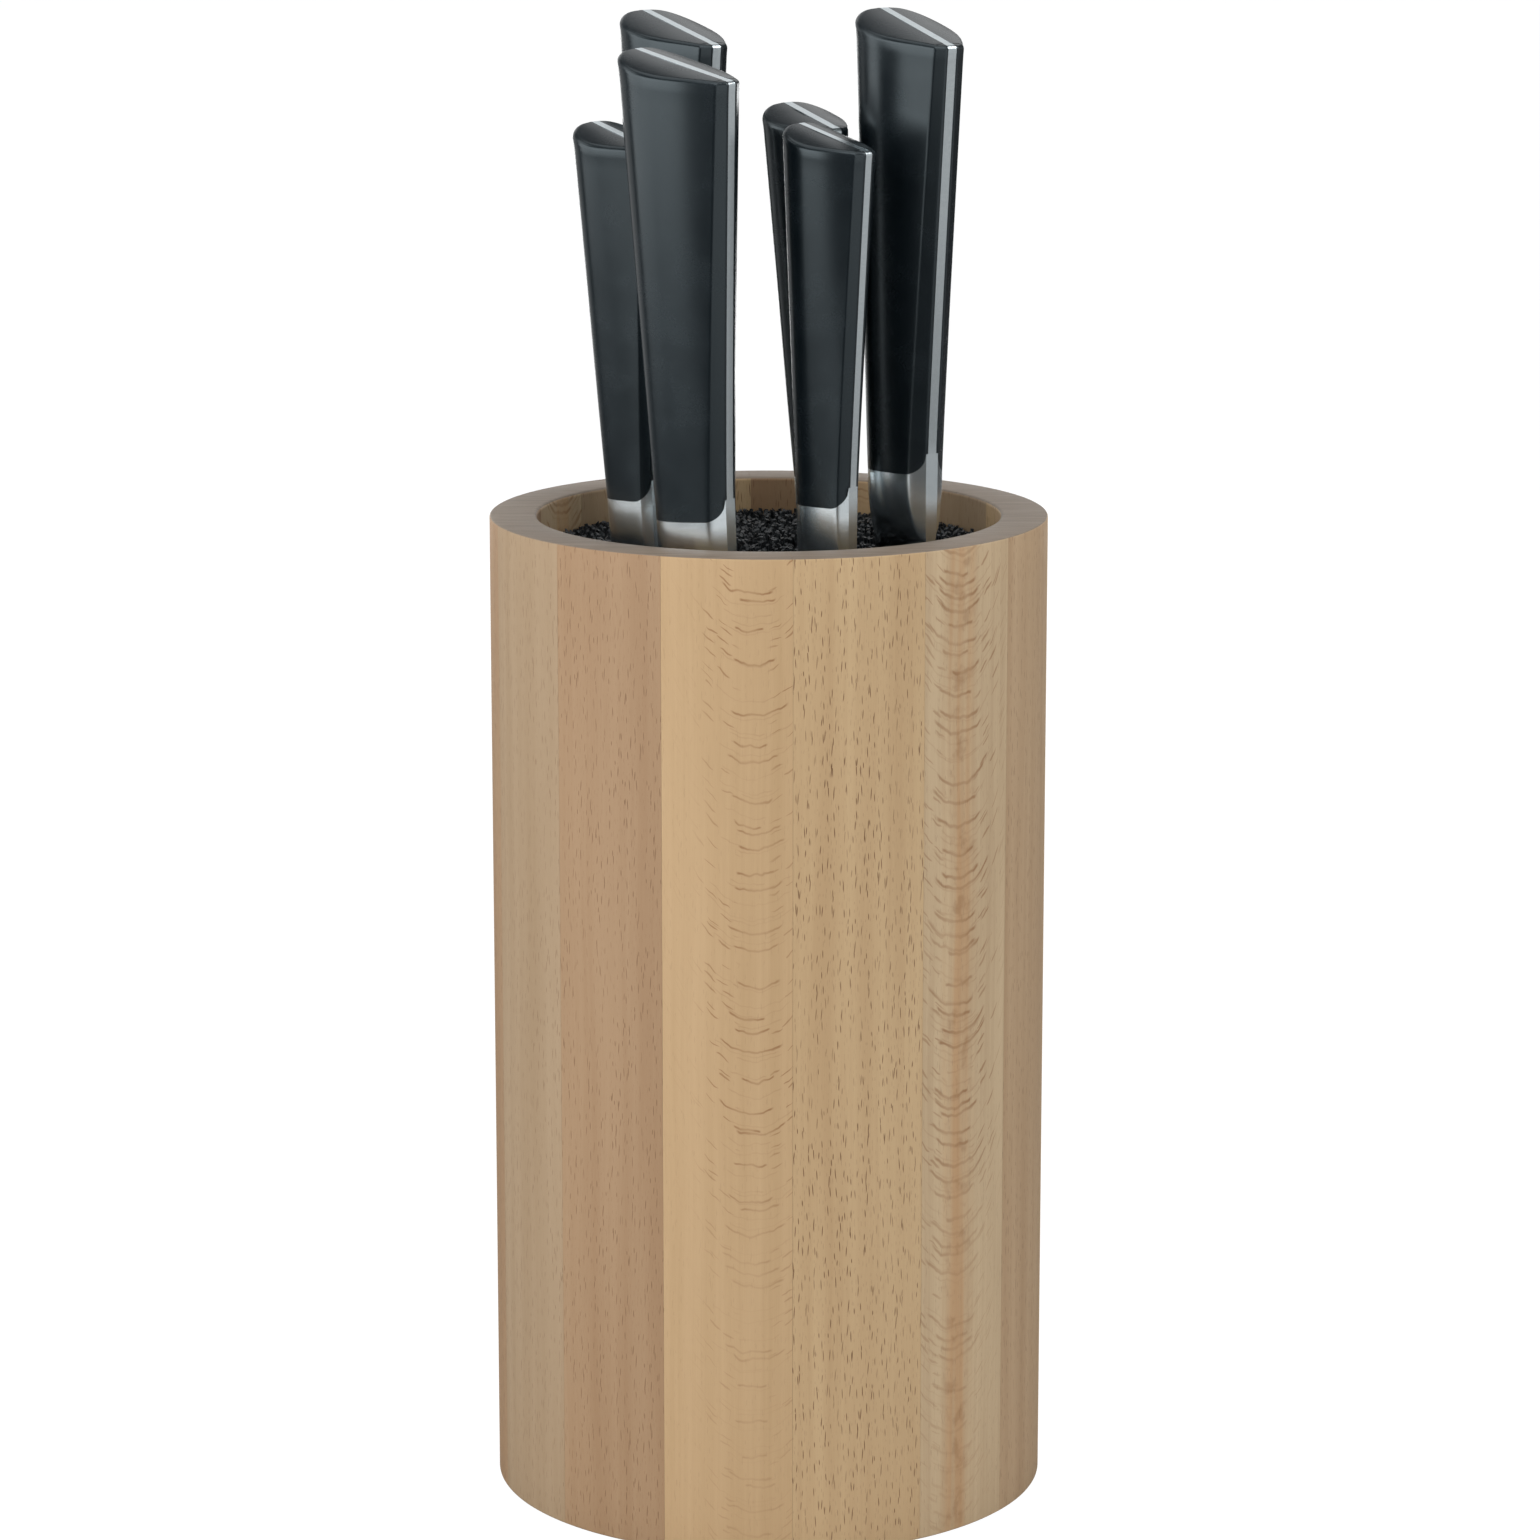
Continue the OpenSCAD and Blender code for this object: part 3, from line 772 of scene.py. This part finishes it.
def scale_outline(size, t):
    """(x, y, f) points round the outside of a scale at row t, from spine to belly."""
    x0, width = spine_x(size, t), width_at(size, t)
    tang, chamfer = size.tang, TANG_CHAMFER
    points = [(x0 - chamfer, tang, 0.0), (x0, tang + chamfer, 0.0)]
    for s in STATIONS:
        f = share_at(size, t, s)
        points.append((x0 - f * width, thickness_at(size, t, s), f))
    points.append((x0 - width, tang + chamfer, 1.0))
    points.append((x0 - width + chamfer, tang, 1.0))
    return points


def outline_normals(points):
    """Outward normals of an open outline that runs from spine to belly on the +Y side."""
    normals = []
    for i in range(len(points)):
        a = points[max(i - 1, 0)]
        b = points[min(i + 1, len(points) - 1)]
        dx, dy = b[0] - a[0], b[1] - a[1]
        length = math.hypot(dx, dy) or 1.0
        normals.append((dy / length, -dx / length))
    return normals


def round_over(i):
    """Inset and drop of the rounded butt edge at step i of ROUND_ROWS."""
    a = math.radians(90 * i / ROUND_ROWS)
    return EDGE_ROUND * (1 - math.cos(a)), EDGE_ROUND * (1 - math.sin(a))


def scale_rows(size):
    """Rows of points up the outside of a scale, over its rounded edge and across its butt."""
    rows = [[(x, size.tang, handle_z(size, f, 0.0, size.tang))
             for x, _, f in scale_outline(size, 0.0)]]
    for i in range(HANDLE_ROWS):
        t = i / HANDLE_ROWS
        rows.append([(x, y, handle_z(size, f, t, y)) for x, y, f in scale_outline(size, t)])
    outline = scale_outline(size, 1.0)
    rows.append([(x, y, butt_z(size, f, y) - EDGE_ROUND) for x, y, f in outline])
    for i in range(1, ROUND_ROWS + 1):
        inset, drop = round_over(i)
        row = []
        for (x, y, f), (nx, ny) in zip(outline, outline_normals(outline)):
            new_y = max(size.tang, y - ny * inset)
            row.append((x - nx * inset, new_y, butt_z(size, f, new_y) - drop))
        rows.append(row)
    edge = rows[-1]
    for i in range(1, DOME_ROWS + 1):
        row = []
        for (x, y, _), (_, _, f) in zip(edge, outline):
            new_y = mix(y, size.tang, i / DOME_ROWS)
            row.append((x, new_y, butt_z(size, f, new_y)))
        rows.append(row)
    return rows


def build_scale(name, size, matrix, side, material):
    """One handle scale: flared teardrop section, rounded butt edge, domed slanted butt."""
    bm = bmesh.new()
    grid = [[bm.verts.new((x, side * y, z)) for x, y, z in row] for row in scale_rows(size)]
    for lower, upper in zip(grid, grid[1:]):
        for j in range(len(lower) - 1):
            bm.faces.new((lower[j], lower[j + 1], upper[j + 1], upper[j]))
    # The flat face on the tang closes what is still open
    clean(bm)
    bmesh.ops.holes_fill(bm, edges=[e for e in bm.edges if len(e.link_faces) == 1])
    bmesh.ops.transform(bm, matrix=matrix, verts=bm.verts)
    return mesh_object(name, bm, [material], sharp=38.0)


# ---- Forged blades ---------------------------------------------------------------------

def drop_at(blade, u):
    """How far the spine has dropped at a share of the blade's length."""
    return blade.drop * max(0.0, (u - blade.drop_from) / (1 - blade.drop_from)) ** 2


def edge_at(blade, u):
    """How far the edge lies from the line of the spine at a share of the length."""
    sweep = max(0.0, (u - blade.sweep_from) / (1 - blade.sweep_from)) ** blade.power
    return mix(blade.width, blade.drop + TIP_WIDTH, sweep)


def blade_half(f, u):
    """Half thickness of a blade at a share of its width and of its length."""
    return mix(mix(SPINE_HALF, TIP_SPINE_HALF, u), EDGE_HALF, f ** 1.3)


def serration(blade, depth):
    """How far a serrated edge is cut back at a depth below the bolster."""
    reach = blade.sweep_from * blade.length
    first = blade.choil + SERRATION_GAP
    if not blade.serrated or depth < first or depth > reach:
        return 0.0
    pitch = 2 * math.sqrt(SERRATION_RADIUS ** 2 - (SERRATION_RADIUS - SERRATION_DEPTH) ** 2)
    offset = (depth - first) % pitch - pitch / 2
    return math.sqrt(SERRATION_RADIUS ** 2 - offset ** 2) - SERRATION_RADIUS + SERRATION_DEPTH


BLADE_ROWS = 90
SERRATED_ROWS = 400
BOLSTER_ROWS = 24


def closed(points):
    """The whole ring, from its points on the +Y side."""
    return points + [(x, -y, z) for x, y, z in reversed(points)]


def blade_rings(size, blade):
    """Rings from the tip of the blade up to its choil."""
    rings = []
    back = size.width / 2
    choil = blade.choil / blade.length
    heel = choil + 1 / blade.length
    count = SERRATED_ROWS if blade.serrated else BLADE_ROWS
    for i in range(count, -1, -1):
        u = heel + (1 - heel) * i / count
        drop = drop_at(blade, u)
        width = edge_at(blade, u) - drop - serration(blade, u * blade.length)
        rings.append(closed([(back - drop - f * width, blade_half(f, u), -u * blade.length)
                             for f in STATIONS]))
    rings.append(closed([(back - f * size.width, blade_half(f, choil), -blade.choil)
                         for f in STATIONS]))
    return rings


def bolster_rings(size):
    """Rings up the bolster, which swells from the blade's thickness to the handle's."""
    rings = []
    for i in range(BOLSTER_ROWS + 1):
        a = math.radians(90 - 90 / BOLSTER_ROWS * i)
        bevel = mix(THIN_BEVEL, size.bevel, math.cos(a)) / size.width
        ring = []
        for s in STATIONS:
            f = share(s, bevel)
            y = mix(blade_half(f, 0.0), thickness_at(size, 0.0, s), math.cos(a))
            deep = BOLSTER_HEIGHT + bolster_reach(size, f)
            z = shoulder_z(size, f)
            if i < BOLSTER_ROWS:
                z = min(BOLSTER_HEIGHT - deep * math.sin(a), z)
            ring.append((size.width / 2 - f * size.width, y, z))
        rings.append(closed(ring))
    return rings


def tang_rings(size):
    """Rings up the full tang and over its rounded end at the butt."""
    rings = []
    for i in range(HANDLE_ROWS + 1):
        t = i / HANDLE_ROWS
        x0, width = spine_x(size, t), width_at(size, t)
        sunk = EDGE_ROUND if i == HANDLE_ROWS else 0.0
        ring = []
        for s in STATIONS:
            f = share_at(size, t, s)
            ring.append((x0 - f * width, size.tang, handle_z(size, f, t, 0.0) - sunk))
        rings.append(closed(ring))
    x0, width = spine_x(size, 1.0), width_at(size, 1.0)
    for i in range(1, ROUND_ROWS + 1):
        inset, drop = round_over(i)
        ring = []
        for s in STATIONS:
            f = share_at(size, 1.0, s)
            x = mix(x0 - inset, x0 - width + inset, f)
            ring.append((x, size.tang, butt_z(size, f, 0.0) - drop))
        rings.append(closed(ring))
    return rings


def build_forging(name, size, blade, matrix, material):
    """Blade, bolster and tang in one piece, as rings joined from the tip to the butt."""
    bm = bmesh.new()
    rings = blade_rings(size, blade) + bolster_rings(size) + tang_rings(size)
    grid = [[bm.verts.new(p) for p in ring] for ring in rings]
    around = len(grid[0])
    for lower, upper in zip(grid, grid[1:]):
        for j in range(around):
            k = (j + 1) % around
            bm.faces.new((lower[j], lower[k], upper[k], upper[j]))
    half = around // 2
    for ring in (grid[0], grid[-1]):
        for j in range(half - 1):
            bm.faces.new((ring[j], ring[j + 1], ring[around - 2 - j], ring[around - 1 - j]))
    bmesh.ops.transform(bm, matrix=matrix, verts=bm.verts)
    return mesh_object(name, bm, [material], sharp=28.0)


def build_knives():
    """Forging and scales of each knife, and steel for its pins."""
    steel = satin_steel("forged_satin_steel", (220, 229, 233), (211, 220, 224), 0.24)
    pin = satin_steel("pin_turned_steel", (190, 190, 188), (160, 160, 158), 0.35)
    plastic = acetal()
    for name, place, turn, lean, size, blade in KNIVES:
        matrix = frame_of(place, turn, lean)
        body = f"{name}_knife"
        piece = build_forging(f"{name}_forging", size, blade, matrix, steel)
        give(piece, body, f"{name}_blade")
        for side, word in ((-1, "left"), (1, "right")):
            piece = build_scale(f"{name}_handle_{word}", size, matrix, side, plastic)
            give(piece, body, f"{name}_scale_{word}")
        recoat(f"{name}_pins", pin)


# ---- Bristles --------------------------------------------------------------------------

# Rows of the bundle lie ROW_SHARE of the pitch apart
BRISTLE_PITCH = 1.26
ROW_SHARE = 0.866
BRISTLE_JITTER = 0.2
BRISTLE_RADIUS = 0.46
BRISTLE_SIDES = 5
RIM_GAP = 0.35
BRISTLE_GAP = 0.55
BRISTLE_LEAN = 0.45
BRISTLE_UNEVEN = 0.5
CORE_TOP = 208.0
CORE_SHRINK = 0.965
RIM_ROW = 50.6


def bristle_sites(rng):
    """Places of the bristles: a close hexagonal bundle, a little disturbed."""
    sites = []
    jitter = BRISTLE_JITTER
    rows = int(INSERT_RADIUS / (BRISTLE_PITCH * ROW_SHARE)) + 1
    for j in range(-rows, rows + 1):
        for i in range(-rows, rows + 1):
            x = (i + (j % 2) * 0.5) * BRISTLE_PITCH + rng.uniform(-jitter, jitter)
            y = j * BRISTLE_PITCH * ROW_SHARE + rng.uniform(-jitter, jitter)
            if math.hypot(x, y) < INSERT_RADIUS - BRISTLE_RADIUS - RIM_GAP:
                sites.append((x, y))
    return sites


def knife_clearance():
    """For each knife, the matrix into its own frame and the room that it takes."""
    rooms = []
    for _, place, turn, lean, size, blade in KNIVES:
        rooms.append((frame_of(place, turn, lean).inverted(), size, blade))
    return rooms


def blocked(x, y, z, rooms, margin):
    """True if a point in the bristles lies in a knife's slot or against its bolster."""
    for inverse, size, blade in rooms:
        p = inverse @ Vector((x, y, z))
        wide = max(blade.width, size.width)
        spine = size.width / 2
        if spine - wide - margin < p.x < spine + margin and abs(p.y) < SPINE_HALF + margin:
            return True
        f = min(1.0, max(0.0, (spine - p.x) / size.width))
        reach = bolster_reach(size, f)
        if abs(p.x) < spine + margin and p.z > -reach:
            lift = min(1.0, (p.z + reach) / (BOLSTER_HEIGHT + reach))
            part = math.sqrt(max(0.0, 1 - (1 - lift) ** 2))
            if abs(p.y) < mix(SPINE_HALF, thickness_at(size, 0.0, f), part) + margin:
                return True
    return False


def add_bristle(bm, x, y, bottom, top, tilt, rng):
    """One bristle: a slim rod, leaning a little and cut off at a slant."""
    turn = rng.uniform(0, math.pi)
    slant = rng.uniform(0.1, 0.5)
    slant_way = rng.uniform(0, 2 * math.pi)
    rings = []
    for cx, cy, z, cut in ((x, y, bottom, 0.0), (x + tilt[0], y + tilt[1], top, slant)):
        ring = []
        for i in range(BRISTLE_SIDES):
            a = turn + i * 2 * math.pi / BRISTLE_SIDES
            ring.append(bm.verts.new((cx + BRISTLE_RADIUS * math.cos(a),
                                      cy + BRISTLE_RADIUS * math.sin(a),
                                      z + cut * (math.cos(a - slant_way) - 1))))
        rings.append(ring)
    lower, upper = rings
    for i in range(BRISTLE_SIDES):
        k = (i + 1) % BRISTLE_SIDES
        bm.faces.new((lower[i], lower[k], upper[k], upper[i]))
    bm.faces.new(upper)
    bm.faces.new(list(reversed(lower)))


def build_bristles():
    """The visible bristles: whole ones round the rim, and tips only inside it."""
    rng = random.Random(21)
    rooms = knife_clearance()
    black = nylon()
    bm = bmesh.new()
    for x, y in bristle_sites(rng):
        tilt = (rng.gauss(0, BRISTLE_LEAN), rng.gauss(0, BRISTLE_LEAN))
        if math.hypot(x + tilt[0], y + tilt[1]) > INSERT_RADIUS - BRISTLE_RADIUS:
            tilt = (-x * 0.01, -y * 0.01)
        top = BRISTLE_TOP - 0.1 - abs(rng.gauss(0, BRISTLE_UNEVEN))
        ends = ((x, y, top), (x + tilt[0], y + tilt[1], top), (x, y, CORE_TOP))
        if any(blocked(*end, rooms, BRISTLE_GAP) for end in ends):
            continue
        on_rim = math.hypot(x, y) > RIM_ROW
        bottom = PLATE_TOP + 0.05 if on_rim else CORE_TOP - 1.0
        add_bristle(bm, x, y, bottom, top, tilt, rng)
    piece = mesh_object("bristle_bundle", bm, [black], sharp=40.0)
    give(piece, "insert", "bristle_pack")


def build_bristle_heart():
    """Dark heart of the bundle, with the knives' slots, below the visible tips."""
    bm = bmesh.new()
    bm.from_mesh(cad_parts["bristle_pack"].data)
    bmesh.ops.remove_doubles(bm, verts=bm.verts, dist=1e-6)
    bmesh.ops.bisect_plane(bm, geom=bm.verts[:] + bm.edges[:] + bm.faces[:], dist=1e-6,
                           plane_co=(0, 0, CORE_TOP * MM), plane_no=(0, 0, 1),
                           clear_outer=True)
    rim = [e for e in bm.edges if len(e.link_faces) == 1]
    bmesh.ops.triangle_fill(bm, edges=rim, use_beauty=True)
    for v in bm.verts:
        if math.hypot(v.co.x, v.co.y) > (INSERT_RADIUS - 0.3) * MM:
            v.co.x *= CORE_SHRINK
            v.co.y *= CORE_SHRINK
    bmesh.ops.scale(bm, vec=(1 / MM,) * 3, verts=bm.verts)
    shadow = moulded("bristle_shadow", (9, 10, 11), (15, 16, 17), 0.7)
    core = mesh_object("bristle_heart", bm, [shadow])
    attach(core, "insert")
    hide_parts("bristle_pack")


# ---- Stage, light and camera -----------------------------------------------------------

# The floor in millimetres, the camera in metres and degrees
FLOOR_HALF = 14000.0
FLOOR_GLOW = 0.91
ROOM_STRENGTH = 0.12
CAMERA_PLACE = (0.0003, -1.2233, 0.4301)
CAMERA_DOWN = 11.93
LENS = 124.15


def area_light(name, azimuth, height, distance, size, power, target=0.2):
    """Soft box round the object, aimed at the height target, in metres and watts.

    Azimuth 0 is the front, positive to the right."""
    data = bpy.data.lights.new(name, "AREA")
    data.shape = "RECTANGLE"
    data.size, data.size_y = size
    data.energy = power
    light = bpy.data.objects.new(name, data)
    a = math.radians(azimuth)
    light.location = (distance * math.sin(a), -distance * math.cos(a), height)
    aim = Vector((0, 0, target)) - light.location
    light.rotation_mode = "QUATERNION"
    light.rotation_quaternion = aim.to_track_quat("-Z", "Y")
    light.visible_camera = False
    bpy.context.scene.collection.objects.link(light)


def build_stage():
    """White paper floor: pale to the camera, and darker in what the object reflects."""
    tree = Tree("stage_paper")
    x, y, _ = tree.object_mm()
    mottle = tree.noise(tree.scaled(x, 0.05), tree.scaled(y, 0.05), 0.0)
    path = tree.add("ShaderNodeLightPath")
    paper = tree.blend(mottle, (0.78, 0.78, 0.78, 1), (0.82, 0.82, 0.82, 1))
    tree.set("Base Color", tree.blend(path.outputs["Is Glossy Ray"], paper,
                                      (0.13, 0.13, 0.13, 1)))
    tree.shader.inputs["Roughness"].default_value = 0.9
    tree.shader.inputs["Specular IOR Level"].default_value = 0.1
    glow = tree.add("ShaderNodeEmission", {"Strength": 1.1})
    seen = tree.math("MULTIPLY", path.outputs["Is Camera Ray"], FLOOR_GLOW)
    mixer = tree.add("ShaderNodeMixShader", {0: seen, 1: tree.shader.outputs[0],
                                             2: glow.outputs[0]})
    output = next(n for n in tree.nodes if n.type == "OUTPUT_MATERIAL")
    tree.links.new(mixer.outputs[0], output.inputs["Surface"])
    bm = bmesh.new()
    bmesh.ops.create_grid(bm, x_segments=8, y_segments=8, size=FLOOR_HALF)
    floor = mesh_object("floor", bm, [tree.material])


def build_world():
    """White behind the object, and a dim cool room for everything else."""
    world = bpy.data.worlds.new("studio")
    bpy.context.scene.world = world
    world.use_nodes = True
    nodes, links = world.node_tree.nodes, world.node_tree.links
    nodes.clear()
    seen = nodes.new("ShaderNodeBackground")
    seen.inputs[0].default_value = (1, 1, 1, 1)
    seen.inputs[1].default_value = 1.0
    room = nodes.new("ShaderNodeBackground")
    room.inputs[0].default_value = (0.94, 0.97, 1.0, 1)
    room.inputs[1].default_value = ROOM_STRENGTH
    path = nodes.new("ShaderNodeLightPath")
    mixer = nodes.new("ShaderNodeMixShader")
    output = nodes.new("ShaderNodeOutputWorld")
    links.new(path.outputs["Is Camera Ray"], mixer.inputs[0])
    links.new(room.outputs[0], mixer.inputs[1])
    links.new(seen.outputs[0], mixer.inputs[2])
    links.new(mixer.outputs[0], output.inputs[0])


def build_camera():
    """Long lens in front of the block, looking down a little."""
    data = bpy.data.cameras.new("camera")
    data.sensor_width = 36.0
    data.lens = LENS
    data.clip_start = 0.05
    data.clip_end = 60.0
    camera = bpy.data.objects.new("camera", data)
    camera.location = CAMERA_PLACE
    camera.rotation_euler = (math.radians(90 - CAMERA_DOWN), 0, 0)
    bpy.context.scene.collection.objects.link(camera)
    bpy.context.scene.camera = camera


def build_lights():
    """Boxes at handle height that the plastic and steel mirror, and high ones for the wood."""
    area_light("left_box", -77, 0.51, 0.95, (0.69, 0.80), 4.2, 0.51)
    area_light("front_left_box", -37, 0.54, 0.95, (0.73, 0.80), 5.3, 0.54)
    area_light("front_box", 40, 0.45, 1.0, (0.80, 0.80), 2.1, 0.45)
    area_light("right_box", 92, 0.45, 1.0, (1.1, 0.86), 1.25, 0.45)
    area_light("back_left_box", -135, 0.45, 1.0, (0.9, 0.8), 1.1, 0.45)
    area_light("back_box", 180, 0.22, 1.5, (1.6, 0.36), 6.0, 0.20)
    area_light("high_left", -95, 1.35, 1.2, (0.8, 0.8), 2.4)
    area_light("high_right", 95, 1.35, 1.2, (0.8, 0.8), 7.4)
    area_light("high_front", 20, 1.6, 1.1, (0.9, 0.9), 5.8)
    area_light("high_back", 180, 1.0, 1.4, (1.5, 0.8), 2.6)
    area_light("top", 0, 1.7, 0.02, (1.4, 1.4), 6.5)


# ---- The scene -------------------------------------------------------------------------

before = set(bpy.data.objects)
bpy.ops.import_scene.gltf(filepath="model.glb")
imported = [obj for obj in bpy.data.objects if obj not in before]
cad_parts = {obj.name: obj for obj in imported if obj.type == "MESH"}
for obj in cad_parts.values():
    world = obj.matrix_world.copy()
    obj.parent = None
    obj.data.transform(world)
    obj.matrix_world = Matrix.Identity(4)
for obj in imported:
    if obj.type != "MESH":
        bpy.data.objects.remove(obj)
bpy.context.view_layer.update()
bpy.context.scene.view_settings.view_transform = "Standard"

build_camera()
build_world()
build_lights()
build_stage()

build_staves()
build_feet()
build_bristles()
build_bristle_heart()
build_knives()

recoat("base_disc", base_wood())
recoat("insert_plate", moulded("insert_moulding", (20, 21, 22), (30, 31, 33), 0.55))
